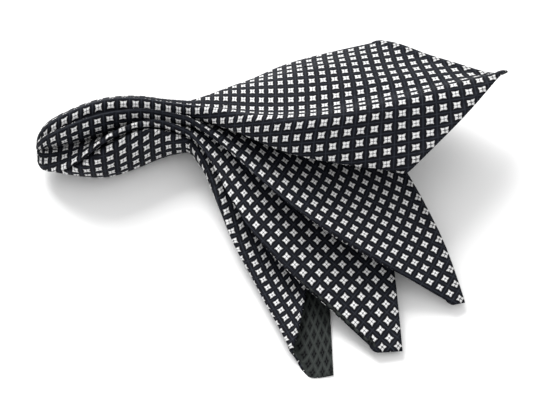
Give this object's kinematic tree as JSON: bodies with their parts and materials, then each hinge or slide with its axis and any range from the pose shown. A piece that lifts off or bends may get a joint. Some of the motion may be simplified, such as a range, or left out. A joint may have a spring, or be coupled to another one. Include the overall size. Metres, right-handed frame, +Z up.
{
  "type": "folded pocket square",
  "caption": "Square of checked woven silk gathered at its middle into a soft puff, its corners fanned out in overlapping leaves and lying on a surface.",
  "frame": {"origin": "centre of the bounding box, at its bottom, on the surface that the cloth lies on", "axes": "+X from the puff towards the fanned corners, which is the longest extent, +Z up, away from the surface, +Y towards the rear edge of the top leaf"},
  "size_m": [0.1576, 0.1242, 0.0376],
  "materials": {
    "woven_silk": "satin"
  },
  "bodies": {
    "root": {"pocket_square": "woven_silk"}
  },
  "joints": []
}
